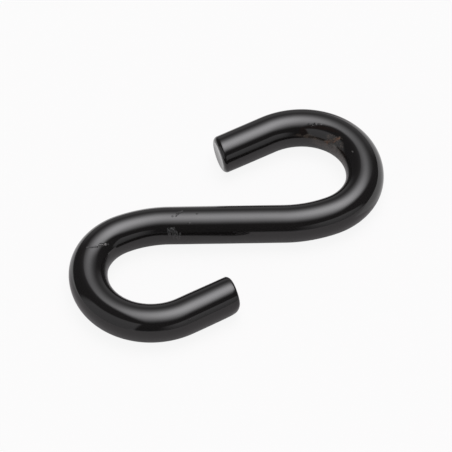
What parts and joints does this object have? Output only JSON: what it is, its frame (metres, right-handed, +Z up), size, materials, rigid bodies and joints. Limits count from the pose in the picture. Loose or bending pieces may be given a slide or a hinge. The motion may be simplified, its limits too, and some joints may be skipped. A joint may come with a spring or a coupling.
{
  "type": "s hook",
  "caption": "S-shaped hook bent from a round rod, with open eyes facing opposite ways and short straight tails, in gloss black enamel, for hanging or linking things.",
  "frame": {"origin": "under the middle of the shank, on the surface that the hook lies on", "axes": "+X along the straight shank, +Y across it towards the eye at the +X end, +Z up, square to the plane of the hook"},
  "size_m": [0.0654, 0.0608, 0.008],
  "materials": {
    "black_enamel": "gloss"
  },
  "bodies": {
    "root": {"hook": "black_enamel"}
  },
  "joints": []
}
